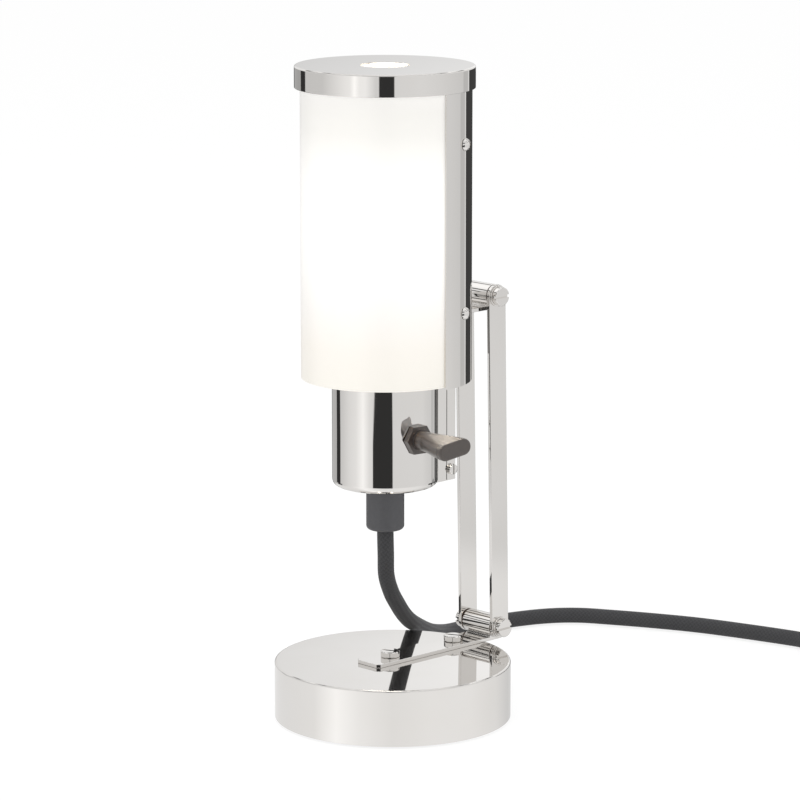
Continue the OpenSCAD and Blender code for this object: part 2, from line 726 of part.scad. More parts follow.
module bracket_screw_places() {
    both_sides() for (z = bracket_levels)
        translate([spine_w / 2 + seat_gap, bracket_screw_y, z]) rotate([0, 90, 0]) children();
}
module bracket_screws() color(NICKEL) bracket_screw_places()
    slotted_screw(bracket_head_d, bracket_head_h, bracket_screw_d, bracket_screw_l, 0.7, 0.6);
// A block behind the housing, with a tongue between the channel's flanges
module holder_bracket() color(NICKEL) difference() {
    h = bracket_top - spine_z;
    union() {
        translate([-spine_w / 2, head_y, spine_z]) cube([spine_w, spine_front - bracket_gap - head_y, h]);
        translate([-tongue_w / 2, head_y, spine_z]) cube([tongue_w, tongue_back - head_y, h]);
    }
    on_shade() translate([0, 0, spine_z - over]) cylinder(r = housing_r + seat_gap, h = h + 2 * over);
    bracket_screw_places() translate([0, 0, -bracket_screw_l - shank_gap])
        cylinder(d = bracket_screw_d + 2 * seat_gap, h = bracket_screw_l + over);
}
module cap() color(NICKEL) on_shade() turned(concat(
    [[cap_d / 2 - cap_t, cap_top - cap_h], [cap_d / 2, cap_top - cap_h]],
    arc([cap_d / 2 - cap_edge_r, cap_top - cap_edge_r], cap_edge_r, 0, 90),
    [[vent_d / 2, cap_top], [vent_d / 2, shade_top], [cap_d / 2 - cap_t, shade_top]]
));

// Lampholder
module holder_housing() color(NICKEL) difference() {
    mid = [housing_r - housing_fillet, housing_z + housing_fillet];
    on_shade() turned(concat(
        [[relief_neck_d / 2 + shank_gap, housing_z]],
        arc(mid, housing_fillet, -90, 0),
        [[housing_r, housing_top], [housing_in, housing_top]],
        arc(mid, housing_fillet - housing_t, 0, -90),
        [[relief_neck_d / 2 + shank_gap, housing_floor]]
    ));
    on_switch() translate([0, 0, bush_from]) cylinder(d = bush_d + 2 * shank_gap, h = housing_r);
}
module switch_block() color(PHENOLIC) difference() {
    on_shade() turned([
        [skirt_in, housing_floor], [insert_r - insert_chamfer, housing_floor],
        [insert_r, housing_floor + insert_chamfer], [insert_r, switch_top],
        [wire_way_d / 2, switch_top], [wire_way_d / 2, housing_floor + skirt_h],
        [skirt_in, housing_floor + skirt_h]
    ]);
    on_switch() translate([0, 0, bush_from]) cylinder(d = bush_d + 2 * seat_gap, h = insert_r);
    on_switch() translate([0, 0, spindle_from - shank_gap])
        cylinder(d = spindle_d + 2 * run_gap, h = insert_r);
}
module holder_body() color(PORCELAIN) on_shade() turned([
    [wire_way_d / 2, switch_top], [insert_r, switch_top], [insert_r, housing_top],
    [socket_d / 2 + seat_gap, housing_top], [socket_d / 2 + seat_gap, holder_floor],
    [wire_way_d / 2, holder_floor]
]);
module thread_shell() color(BRASS) on_shade() translate([0, 0, holder_floor]) difference() {
    cylinder(d = socket_d, h = housing_top - holder_floor);
    translate([0, 0, -over]) cylinder(d = socket_d - 2 * socket_t, h = housing_top - holder_floor + 2 * over);
}
module centre_contact() color(BRASS) on_shade() translate([0, 0, switch_top]) {
    cylinder(d = wire_way_d - 2 * seat_gap, h = holder_floor_t + contact_h / 2);
    translate([0, 0, holder_floor_t]) cylinder(d = wire_way_d + 2, h = contact_h);
}
// One side of the bulb's wall, from its crown to its neck, drawn in by a distance
function bulb_side(inset) = concat(
    arc([0, bulb_mid], bulb_d / 2 - inset, 90, bulb_neck_a, 16),
    [[bulb_cap_d / 2 + 0.6 - inset, bulb_neck_z + 9], [bulb_cap_d / 2 - inset, bulb_neck_z]]
);
module bulb_glass() color(OPAL) on_shade() {
    inner = bulb_side(bulb_t);
    turned(concat(bulb_side(0), [for (i = [len(inner) - 1:-1:0]) inner[i]]));
}
module bulb_cap() color(BRASS) on_shade() translate([0, 0, bulb_cap_z]) {
    cylinder(d1 = tip_d + 5, d2 = bulb_cap_d, h = 4);
    translate([0, 0, 4]) cylinder(d = bulb_cap_d, h = bulb_cap_h - 4);
}
module bulb_contact() color(STEEL) on_shade() translate([0, 0, bulb_z])
    cylinder(d1 = tip_d - 3, d2 = tip_d, h = tip_h);
module switch_bush() color(STEEL) on_switch() difference() {
    translate([0, 0, bush_from]) cylinder(d = bush_d, h = bush_to - bush_from);
    translate([0, 0, bush_from - over])
        cylinder(d = spindle_d + 2 * run_gap, h = bush_to - bush_from + 2 * over);
}
module switch_nut() color(PHENOLIC) on_switch() translate([0, 0, nut_from]) rotate([0, 0, 30])
    hex_nut(nut_w, nut_t, bush_d + 2 * seat_gap);
module strain_relief() color(BLACK) difference() {
    on_shade() turned(concat(
        [[0, relief_z]],
        arc([relief_d / 2 - relief_edge, relief_z + relief_edge], relief_edge, -90, 0),
        [[relief_d / 2, housing_z], [relief_neck_d / 2, housing_z], [relief_neck_d / 2, relief_neck_top],
            [0, relief_neck_top]]
    ));
    on_shade() translate([0, 0, relief_z - over])
        cylinder(d = cord_bore_d, h = relief_neck_top - relief_z + 2 * over);
}
module relief_nut() color(STEEL) on_shade() translate([0, 0, housing_floor])
    hex_nut(relief_nut_w, relief_nut_t, relief_neck_d + 2 * seat_gap);

// Switch knob: a round neck that flares into an oval grip
module knob() color(PHENOLIC) on_switch() rotate([0, 0, knob_turn]) difference() {
    union() {
        translate([0, 0, knob_from]) cylinder(d = knob_neck_d, h = knob_flare_from - knob_from + over);
        hull() {
            translate([0, 0, knob_flare_from]) cylinder(d = knob_neck_d, h = 0.1, $fn = 32);
            translate([0, 0, knob_flare_to]) oval(0, 0.1);
        }
        hull() {
            translate([0, 0, knob_flare_to]) oval(0, knob_to - knob_edge - knob_flare_to);
            translate([0, 0, knob_to - 0.45 * knob_edge]) oval(0.3 * knob_edge, 0.1);
            translate([0, 0, knob_to - 0.1]) oval(knob_edge, 0.1);
        }
    }
    translate([0, 0, knob_from - over])
        cylinder(d = spindle_d + 2 * seat_gap, h = spindle_to - knob_from + over + shank_gap);
}
// A slice of the oval grip, drawn in all round by an inset
module oval(inset, h) {
    for (side = [-1, 1]) translate([0, side * (knob_w - knob_t) / 2, 0])
        cylinder(d = knob_t - 2 * inset, h = h, $fn = 32);
}
module spindle() color(STEEL) on_switch() translate([0, 0, spindle_from])
    cylinder(d = spindle_d, h = spindle_to - spindle_from);

// Cord
module cord_drop() color(TEXTILE) tube(drop_route, cord_d, cord_sides, drop_plane);
module cord_run() color(TEXTILE) tube(run_route, cord_d, cord_sides, [0, 0, 1]);
module cord_coil() color(TEXTILE) tube(coil_route, cord_d, coil_sides, [0, 0, 1]);
module cord_tie() color(BLACK)
    translate([coil_mid.x, coil_mid.y, 0]) rotate([0, 0, tie_a]) rotate([90, 0, 0]) difference() {
        tie_block(tie_t, tie_w);
        tie_block(0, tie_w + 2 * over);
    }
// A block with round corners, standing round the coil's section and grown by a wall
module tie_block(wall, w) {
    x0 = tie_in_r - tie_gap - wall;
    x1 = tie_out_r + tie_gap + wall;
    y0 = tie_low - wall;
    y1 = tie_high + wall;
    r = tie_corner + wall;
    translate([0, 0, -w / 2]) {
        translate([x0 + r, y0, 0]) cube([x1 - x0 - 2 * r, y1 - y0, w]);
        translate([x0, y0 + r, 0]) cube([x1 - x0, y1 - y0 - 2 * r, w]);
        for (x = [x0 + r, x1 - r], y = [y0 + r, y1 - r]) translate([x, y, 0]) cylinder(r = r, h = w);
    }
}
// The plug's own frame: +Z runs along the tail, out of its end
module on_tail() {
    translate(tail_end) rotate([0, 0, coil_start_a + tail_a + 90]) rotate([0, 90, 0]) children();
}
module plug_body() color(BLACK) on_tail() {
    hull() {
        cylinder(d = cord_d + 1, h = 1, $fn = 32);
        translate([0, 0, plug_boot_l]) plug_slice(plug_back_w, plug_back_t, 1);
    }
    hull() {
        translate([0, 0, plug_boot_l]) plug_slice(plug_back_w, plug_back_t, 1);
        translate([0, 0, plug_boot_l + plug_body_l * 0.55]) plug_slice(plug_w, plug_t, 1);
        translate([0, 0, plug_boot_l + plug_body_l - 1]) plug_slice(plug_w, plug_t, 1);
    }
}
module plug_slice(w, t, h) {
    for (side = [-1, 1]) translate([0, side * (w - t) / 2, 0]) cylinder(d = t, h = h, $fn = 32);
}
module plug_pins() color(NICKEL) on_tail() for (side = [-1, 1])
    translate([0, side * pin_gap / 2, plug_boot_l + plug_body_l]) {
        cylinder(d = pin_d, h = pin_l - pin_d / 2);
        translate([0, 0, pin_l - pin_d / 2]) sphere(d = pin_d);
    }

base_shell();
base_weight();
base_plate();
base_pad();
base_screws();
base_strap();
strap_screws();
arm_bar_right();
arm_bar_left();
lower_axle();
upper_axle();
lower_pivot_screws();
upper_pivot_screws();
lower_washers();
upper_washers();
lower_discs();
upper_discs();
head_strap();
head_strap_screws();
head_strap_nuts();
back_shell();
spine();
glass_front();
glass_clip_right();
glass_clip_left();
clip_screws();
holder_bracket();
bracket_screws();
holder_housing();
switch_block();
holder_body();
thread_shell();
centre_contact();
bulb_glass();
bulb_cap();
bulb_contact();
switch_bush();
switch_nut();
strain_relief();
relief_nut();
cap();
knob();
spindle();
cord_drop();
cord_run();
cord_coil();
cord_tie();
plug_body();
plug_pins();
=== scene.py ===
"""Looks of an adjustable table lamp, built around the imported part.

Polished nickel metalwork, a lit opal glass front, dark phenolic switch parts and a braided textile cord,
on a white studio table. Lengths are in metres, in the part's own frame: the origin is the centre of the
base's underside, +Z is up and the glass faces -Y.
"""

import json

import bpy
import numpy as np
from mathutils import Matrix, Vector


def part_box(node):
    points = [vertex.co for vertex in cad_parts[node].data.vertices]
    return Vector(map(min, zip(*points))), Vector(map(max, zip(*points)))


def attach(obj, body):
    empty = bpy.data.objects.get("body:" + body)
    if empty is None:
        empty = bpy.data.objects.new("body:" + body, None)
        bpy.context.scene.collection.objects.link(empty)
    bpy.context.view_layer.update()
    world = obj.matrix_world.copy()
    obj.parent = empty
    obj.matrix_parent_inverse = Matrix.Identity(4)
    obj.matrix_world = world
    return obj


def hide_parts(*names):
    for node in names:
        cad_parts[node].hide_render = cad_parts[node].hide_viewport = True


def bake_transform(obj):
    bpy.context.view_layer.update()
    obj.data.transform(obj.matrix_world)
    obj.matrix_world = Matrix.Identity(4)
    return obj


MM = 0.001

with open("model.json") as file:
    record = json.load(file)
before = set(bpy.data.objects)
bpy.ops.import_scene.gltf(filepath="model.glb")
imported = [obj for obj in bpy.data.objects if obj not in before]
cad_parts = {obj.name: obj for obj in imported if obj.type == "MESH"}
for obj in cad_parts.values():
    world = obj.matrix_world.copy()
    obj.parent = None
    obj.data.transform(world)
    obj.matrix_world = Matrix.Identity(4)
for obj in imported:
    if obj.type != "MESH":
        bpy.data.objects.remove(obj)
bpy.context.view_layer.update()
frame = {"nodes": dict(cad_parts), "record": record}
nodes = frame["nodes"]


# Camera -----------------------------------------------------------------------------------------

CAMERA_AZIMUTH = np.radians(46.0)
CAMERA_PITCH = np.radians(11.33)
CAMERA_DISTANCE = 1.63076
CAMERA_LENS, SENSOR_WIDTH = 175.66, 36
CLIP_NEAR, CLIP_FAR = 0.05, 50

# The point that it looks at: to the right of the base's middle, and up
TARGET_RIGHT, TARGET_UP = 3.11 * MM, 136.48 * MM

# Unit vectors on the table: from the lamp to the camera, and to the right as the camera sees it
TO_CAMERA = np.array([np.sin(CAMERA_AZIMUTH), -np.cos(CAMERA_AZIMUTH)])
TO_RIGHT = np.array([np.cos(CAMERA_AZIMUTH), np.sin(CAMERA_AZIMUTH)])
UP = np.array([0.0, 0.0, 1.0])


def unit(v):
    """Vectors of length 1 along v, row by row."""
    return v / np.linalg.norm(v, axis=-1, keepdims=True)


def facing(place, back):
    """The matrix of something at a place that looks along -back and is held level: right = up x back."""
    right = unit(np.cross(UP, back))
    turn = np.eye(4)
    turn[:3, :3] = np.column_stack([right, np.cross(back, right), back])
    turn[:3, 3] = place
    return Matrix(turn.tolist())


def place_camera():
    """A long lens that looks down on the lamp from its front right: place = target + distance * back."""
    back = np.array([*(TO_CAMERA * np.cos(CAMERA_PITCH)), np.sin(CAMERA_PITCH)])
    target = np.array([*(TARGET_RIGHT * TO_RIGHT), TARGET_UP])
    data = bpy.data.cameras.new("camera")
    data.lens, data.sensor_width = CAMERA_LENS, SENSOR_WIDTH
    data.clip_start, data.clip_end = CLIP_NEAR, CLIP_FAR
    camera = bpy.data.objects.new("camera", data)
    bpy.context.scene.collection.objects.link(camera)
    camera.matrix_world = facing(target + CAMERA_DISTANCE * back, back)
    bpy.context.scene.camera = camera


place_camera()


# Meshes -----------------------------------------------------------------------------------------

# Points on a curve between two of the given points
SPAN_POINTS = 40


def mesh_piece(name, points, faces, uvs=None):
    """A mesh object at the origin from an (n, 3) array of points, a list of faces and one UV per face corner."""
    mesh = bpy.data.meshes.new(name)
    mesh.from_pydata(points.tolist(), [], faces)
    if uvs is not None:
        mesh.uv_layers.new(name="along").data.foreach_set("uv", np.asarray(uvs, np.float32).ravel())
    mesh.shade_smooth()
    mesh.update()
    piece = bpy.data.objects.new(name, mesh)
    bpy.context.scene.collection.objects.link(piece)
    return piece


def lengths_along(path):
    """Length from the path's start to each of its points."""
    return np.concatenate([[0], np.cumsum(np.linalg.norm(np.diff(path, axis=0), axis=1))])


def smooth_route(points, step):
    """A Catmull-Rom curve through the points: 2p(t) = 2b + (c-a)t + (2a-5b+4c-d)t^2 + (3b-a-3c+d)t^3 between b
    and c, sampled again at even steps of its length."""
    ends = np.vstack([2 * points[:1] - points[1:2], points, 2 * points[-1:] - points[-2:-1]])
    a, b, c, d = (ends[i : len(ends) - 3 + i, None, :] for i in range(4))
    t = np.linspace(0, 1, SPAN_POINTS, endpoint=False)[None, :, None]
    curve = b + 0.5 * ((c - a) * t + (2 * a - 5 * b + 4 * c - d) * t**2 + (3 * b - a - 3 * c + d) * t**3)
    curve = np.vstack([curve.reshape(-1, 3), points[-1:]])
    run = lengths_along(curve)
    even = np.linspace(0, run[-1], int(run[-1] / step) + 1)
    return np.column_stack([np.interp(even, run, curve[:, k]) for k in range(3)])


def route_length(path):
    """Length of a path from end to end."""
    return float(np.linalg.norm(np.diff(path, axis=0), axis=1).sum())


def round_tube(name, path, radius, sides, aside, start=0.0):
    """A circle carried along a path: point(i, j) = path_i + radius (cos a_j u_i + sin a_j v_i), where u and v
    stand across the path and aside is a direction that the path never follows. UV: share of the turn, and
    length along the cord in metres, counted from start."""
    way = unit(np.gradient(path, axis=0))
    u = unit(np.cross(aside, way))
    v = np.cross(way, u)
    a = np.linspace(0, 2 * np.pi, sides, endpoint=False)
    ring = np.cos(a)[None, :, None] * u[:, None, :] + np.sin(a)[None, :, None] * v[:, None, :]
    points = (path[:, None, :] + radius * ring).reshape(-1, 3)
    i, j = np.meshgrid(np.arange(len(path) - 1), np.arange(sides), indexing="ij")
    i, j = i.ravel(), j.ravel()
    k = (j + 1) % sides
    quads = np.column_stack([i * sides + j, i * sides + k, (i + 1) * sides + k, (i + 1) * sides + j])
    count = len(points)
    points = np.vstack([points, points[:sides], points[-sides:]])
    caps = [list(range(count + sides - 1, count - 1, -1)), list(range(count + sides, count + 2 * sides))]
    run = start + lengths_along(path)
    corners = np.stack(
        [np.column_stack([(j + dj) / sides, run[i + di]]) for di, dj in ((0, 0), (0, 1), (1, 1), (1, 0))], axis=1
    )
    ends = np.column_stack([np.tile(np.arange(sides) / sides, 2), np.repeat(run[[0, -1]], sides)])
    return mesh_piece(name, points, quads.tolist() + caps, np.vstack([corners.reshape(-1, 2), ends]))


# Cord: the route of the part's own solids -------------------------------------------------------

CORD_D, CORD_SIDES = 7 * MM, 20
ROUTE_STEP = 1.5 * MM

# Length held inside the strain relief
CORD_HELD = 6 * MM
HEAD_Y = (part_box("cap")[0].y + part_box("cap")[1].y) / 2
RELIEF_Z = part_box("strain_relief")[0].z

# Directions that the hanging cord and the cord on the table never follow
ASIDE_DROP, ASIDE_FLOOR = np.array([0.86, 0.5, 0.0]), UP

# From inside the strain relief to the base's rim, with the point where the hanging cord is split
DROP = np.vstack([
    [[0, HEAD_Y, RELIEF_Z + CORD_HELD], [0, HEAD_Y, RELIEF_Z]],
    np.array([
        [-0.5, -3.5, 71], [-3.9, 0.1, 60.5], [-8.8, 7.6, 51], [-14.6, 16.9, 43], [-20.8, 26.4, 36],
        [-27, 35.9, 30.3],
    ]) * MM,
])
SPLIT = 4

# From the base's rim over the table to the coil
RUN = np.array([
    [-32.8, 44.6, 26.05], [-40.5, 56, 20.9], [-48.3, 67.5, 16], [-56.3, 79.2, 11.6], [-63.7, 90.7, 7.9],
    [-69.4, 101.7, 5.1], [-72.1, 112.5, 3.9], [-71.7, 123.5, 3.6], [-69.7, 134.2, 3.6], [-67, 144.6, 3.6],
    [-63.3, 154.6, 3.6], [-58, 163.6, 3.6], [-50.8, 170.9, 3.6], [-42, 176.3, 3.6],
    [-23, 186.5, 3.6], [-2, 196, 3.6], [20, 203, 3.6], [40.8, 208.5, 3.6], [49.8, 209.7, 3.7],
    [58.9, 208.5, 3.9], [68, 207.3, 4.2],
]) * MM

COIL_MID = np.array([80, 251.5]) * MM
COIL_IN_R = 29.2 * MM
TURN_STEP = 7.7 * MM
LAYER_STEP = 7.6 * MM
COIL_Z = 4.6 * MM
COIL_START = np.radians(-75)
LAYERS, LAYER_TURNS, CLIMB_TURNS = 4, 1.5, 0.5
COIL_TURNS = LAYERS * LAYER_TURNS
COIL_OUT_R = COIL_IN_R + LAYER_TURNS * TURN_STEP
TURN_POINTS, TAIL_POINTS = 48, 24
TAIL_R, TAIL_A = 30 * MM, np.radians(165)

# The tail climbs from so many turns before the last turn's end to so many after it
TAIL_CLIMB, TAIL_CLIMB_FROM, TAIL_CLIMB_TO = 10 * MM, 0.15, 60 / 360


def smooth(t):
    """Smoothstep: s^2 (3 - 2s), with s = t held between 0 and 1."""
    s = np.clip(t, 0, 1)
    return s * s * (3 - 2 * s)


def coil_rise(u):
    """Height over the lowest layer after u turns: one layer in the half turn round each reversal, then the tail."""
    layers = sum(smooth((u - k * LAYER_TURNS) / CLIMB_TURNS + 0.5) for k in range(1, LAYERS))
    tail = smooth((u - COIL_TURNS + TAIL_CLIMB_FROM) / (TAIL_CLIMB_FROM + TAIL_CLIMB_TO))
    return LAYER_STEP * layers + TAIL_CLIMB * tail


def coil_path():
    """The put-away coil: r(u) runs to and fro between the outer and the inner turn, z(u) climbs a layer at each
    reversal, and the tail leaves the last turn on a tighter arc towards the plug."""
    u = np.arange(int(COIL_TURNS * TURN_POINTS)) / TURN_POINTS
    part = np.mod(u, LAYER_TURNS)
    inward = np.mod(np.floor(u / LAYER_TURNS), 2) == 0
    r = np.where(inward, COIL_OUT_R - TURN_STEP * part, COIL_IN_R + TURN_STEP * part)
    a = COIL_START + 2 * np.pi * u
    coil = np.column_stack([COIL_MID[0] + r * np.cos(a), COIL_MID[1] + r * np.sin(a), COIL_Z + coil_rise(u)])
    g = np.linspace(0, TAIL_A, TAIL_POINTS)
    end = COIL_START + 2 * np.pi * COIL_TURNS
    mid = COIL_MID + (COIL_OUT_R - TAIL_R) * np.array([np.cos(end), np.sin(end)])
    z = COIL_Z + coil_rise(COIL_TURNS + np.degrees(g) / 360)
    tail = np.column_stack([mid[0] + TAIL_R * np.cos(end + g), mid[1] + TAIL_R * np.sin(end + g), z])
    way_in = np.array([-np.sin(COIL_START), np.cos(COIL_START), 0])
    way_out = np.array([-np.sin(end + TAIL_A), np.cos(end + TAIL_A), 0])
    lead = coil[0] - np.array([2, 1])[:, None] * CORD_D * way_in
    return np.vstack([lead, coil, tail, tail[-1] + CORD_D * way_out])


route = smooth_route(np.vstack([DROP, RUN, coil_path()]), ROUTE_STEP)
joint_mid = int(np.argmin(np.linalg.norm(route - DROP[SPLIT], axis=1)))
joint_rim = int(np.argmin(np.linalg.norm(route - RUN[0], axis=1)))
paths = {
    "cord_upper": route[: joint_mid + 1],
    "cord_lower": route[joint_mid : joint_rim + 1],
    "cord_floor": route[joint_rim:],
}
cords, start = {}, 0.0
for name, path in paths.items():
    aside = ASIDE_FLOOR if name == "cord_floor" else ASIDE_DROP
    cords[name] = round_tube(name, path, CORD_D / 2, CORD_SIDES, aside, start)
    start += route_length(path)


# Materials --------------------------------------------------------------------------------------

WHITE = (1, 1, 1, 1)

# Sockets of a mix node, by number: its two numbers, its two colours, and the mixed number and colour
NUMBER_A, NUMBER_B, COLOUR_A, COLOUR_B = 2, 3, 6, 7
MIXED_NUMBER, MIXED_COLOUR = 0, 2


def linear(code):
    """An sRGB hex colour as linear RGBA: c / 12.92 below 0.04045, and ((c + 0.055) / 1.055)^2.4 above."""
    srgb = np.array([int(code[i : i + 2], 16) for i in (1, 3, 5)]) / 255
    return (*np.where(srgb <= 0.04045, srgb / 12.92, ((srgb + 0.055) / 1.055) ** 2.4), 1.0)


def put(tree, kind, inputs=None, **settings):
    """Adds a node: settings go on the node, and inputs on its sockets, as values or as links from other sockets."""
    node = tree.nodes.new(kind)
    for key, value in settings.items():
        setattr(node, key, value)
    for key, value in (inputs or {}).items():
        if isinstance(value, bpy.types.NodeSocket):
            tree.links.new(value, node.inputs[key])
        else:
            node.inputs[key].default_value = value
    return node


def new_material(name):
    """An empty material, and its node tree."""
    material = bpy.data.materials.new(name)
    material.use_nodes = True
    material.node_tree.nodes.clear()
    return material, material.node_tree


def close(tree, shader):
    """Joins a shader to the material's output."""
    put(tree, "ShaderNodeOutputMaterial", {"Surface": shader.outputs[0]})


def per_metre(size_mm):
    """Scale of a noise whose features are about that many millimetres wide, on coordinates in metres."""
    return 1000.0 / size_mm


def noise(tree, size_mm, detail):
    """A noise over the piece from 0 to 1, with features about that many millimetres wide."""
    where = put(tree, "ShaderNodeTexCoord").outputs["Object"]
    scale = per_metre(size_mm)
    return put(tree, "ShaderNodeTexNoise", {"Vector": where, "Scale": scale, "Detail": detail}).outputs["Fac"]


def tones(tree, share, low, high):
    """A colour that runs from low to high with the share."""
    ends = {COLOUR_A: linear(low), COLOUR_B: linear(high)}
    return put(tree, "ShaderNodeMix", {"Factor": share, **ends}, data_type="RGBA").outputs[MIXED_COLOUR]


def calc(tree, operation, a, b, **settings):
    """The result of one operation on two numbers."""
    return put(tree, "ShaderNodeMath", {0: a, 1: b}, operation=operation, **settings).outputs[0]


def polished_nickel():
    """Nickel plate, buffed to a mirror: slightly warm, with a faint haze where hands and cloths have been."""
    material, tree = new_material("polished_nickel")
    haze = noise(tree, 28, 3.0)
    rough = put(
        tree, "ShaderNodeMapRange",
        {"Value": haze, "From Min": 0.35, "From Max": 0.75, "To Min": 0.025, "To Max": 0.06},
    )
    shader = put(
        tree, "ShaderNodeBsdfPrincipled",
        {
            "Base Color": tones(tree, haze, "#DCDAD8", "#D8D5D1"), "Metallic": 1.0,
            "Roughness": rough.outputs["Result"],
        },
    )
    close(tree, shader)
    return material


def turned_steel():
    """Turned steel left bright, with a satin shine. Its tool marks, 0.4 mm apart, are too fine to show, so they are
    drawn as a soft noise of 0.8 mm."""
    material, tree = new_material("turned_steel")
    marks = noise(tree, 0.8, 2.0)
    rough = put(tree, "ShaderNodeMapRange", {"Value": marks, "To Min": 0.25, "To Max": 0.45})
    shader = put(
        tree, "ShaderNodeBsdfPrincipled",
        {"Base Color": linear("#A9A9AB"), "Metallic": 1.0, "Roughness": rough.outputs["Result"]},
    )
    close(tree, shader)
    return material


def drawn_brass():
    """Drawn brass in the lampholder, a little tarnished."""
    material, tree = new_material("drawn_brass")
    tint = tones(tree, noise(tree, 5, 4.0), "#D9BC7A", "#B08D4C")
    close(tree, put(tree, "ShaderNodeBsdfPrincipled", {"Base Color": tint, "Metallic": 1.0, "Roughness": 0.28}))
    return material


def speckled(name, low, high, size_mm, roughness, bump_mm=0.0, coat=0.0, coat_rough=0.03):
    """A dielectric whose colour runs between two tones over a noise of the given size, with that noise as its
    relief."""
    material, tree = new_material(name)
    grain = noise(tree, size_mm, 4.0)
    shader = put(
        tree, "ShaderNodeBsdfPrincipled",
        {
            "Base Color": tones(tree, grain, low, high), "Roughness": roughness, "IOR": 1.5,
            "Coat Weight": coat, "Coat Roughness": coat_rough,
        },
    )
    if bump_mm:
        bump = put(tree, "ShaderNodeBump", {"Height": grain, "Distance": bump_mm * MM})
        tree.links.new(bump.outputs["Normal"], shader.inputs["Normal"])
    close(tree, shader)
    return material


# Light that comes through the opal glass, over its height: the two ends, which a new ramp has, then the steps between
OPAL_GLOW = (
    (0.0, (0.275, 0.262, 0.228)), (1.0, (0.45, 0.45, 0.45)),
    (0.125, (0.30, 0.28, 0.252)), (0.24, (0.34, 0.332, 0.33)),
    (0.36, (0.42, 0.42, 0.42)), (0.5, (0.46, 0.46, 0.46)),
    (0.66, (0.43, 0.43, 0.43)), (0.74, (0.355, 0.355, 0.355)),
    (0.815, (0.275, 0.278, 0.275)), (0.88, (0.27, 0.272, 0.27)),
    (0.94, (0.355, 0.355, 0.36)),
)
RAMP_ENDS = 2


def opal_glass():
    """Cased opal glass with the bulb lit behind it: white all through, glowing most beside the bulb, warmer below
    and greyer above, with a fire-polished skin."""
    material, tree = new_material("opal_glass")
    low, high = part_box("glass_front")
    where = put(tree, "ShaderNodeTexCoord").outputs["Object"]
    height = put(tree, "ShaderNodeSeparateXYZ", {"Vector": where}).outputs["Z"]
    share = put(tree, "ShaderNodeMapRange", {"Value": height, "From Min": low.z, "From Max": high.z})
    glow = put(tree, "ShaderNodeValToRGB", {"Fac": share.outputs["Result"]})
    stops = glow.color_ramp.elements
    for number, (place, value) in enumerate(OPAL_GLOW):
        stop = stops[number] if number < RAMP_ENDS else stops.new(place)
        stop.position, stop.color = place, (*value, 1.0)
    shader = put(
        tree, "ShaderNodeBsdfPrincipled",
        {
            "Base Color": linear("#EFECE6"), "Roughness": 0.42, "IOR": 1.45,
            "Coat Weight": 0.6, "Coat Roughness": 0.3, "Coat IOR": 1.45,
            "Emission Color": glow.outputs["Color"], "Emission Strength": 1.0,
        },
    )
    close(tree, shader)
    return material


def lit_bulb():
    """A frosted bulb, lit: an even warm white."""
    material, tree = new_material("frosted_bulb_glass")
    shader = put(
        tree, "ShaderNodeBsdfPrincipled",
        {
            "Base Color": linear("#F4F1EA"), "Roughness": 0.4,
            "Emission Color": tones(tree, noise(tree, 3, 2.0), "#FFFCF8", "#FFFEFC"), "Emission Strength": 6.0,
        },
    )
    close(tree, shader)
    return material


STRANDS = 22.0
STRAND_BACK = 0.5


def textile_braid():
    """Charcoal rayon braid over the cord: 22 strands each way, 1 mm wide, crossing at 45 degrees over and under,
    with a soft sheen at the rim. A strand's back is round: its height is the square root of the way in from its
    edge."""
    material, tree = new_material("textile_braid")
    along = put(tree, "ShaderNodeUVMap", uv_map="along").outputs["UV"]
    parts = put(tree, "ShaderNodeSeparateXYZ", {"Vector": along})
    turn = calc(tree, "MULTIPLY", parts.outputs["X"], STRANDS)
    run = calc(tree, "MULTIPLY", parts.outputs["Y"], STRANDS / (np.pi * CORD_D))
    left, right = calc(tree, "ADD", turn, run), calc(tree, "SUBTRACT", turn, run)
    backs = [calc(tree, "POWER", calc(tree, "PINGPONG", lay, 1.0), STRAND_BACK) for lay in (left, right)]
    cells = put(tree, "ShaderNodeCombineXYZ", {"X": left, "Y": right}).outputs["Vector"]
    over = put(tree, "ShaderNodeTexChecker", {"Vector": cells, "Scale": 0.5}).outputs["Fac"]
    height = put(
        tree, "ShaderNodeMix", {"Factor": over, NUMBER_A: backs[0], NUMBER_B: backs[1]}, data_type="FLOAT"
    ).outputs[MIXED_NUMBER]
    bump = put(tree, "ShaderNodeBump", {"Height": height, "Distance": 0.15 * MM, "Strength": 0.6})
    # The braid's colour follows the strands' height: painted shade in the hollows between strands, and a painted
    # highlight on their backs.
    shader = put(
        tree, "ShaderNodeBsdfPrincipled",
        {
            "Base Color": tones(tree, height, "#2B2B2D", "#444446"), "Roughness": 0.75,
            "Normal": bump.outputs["Normal"], "Sheen Weight": 0.12, "Sheen Roughness": 0.4,
        },
    )
    close(tree, shader)
    return material


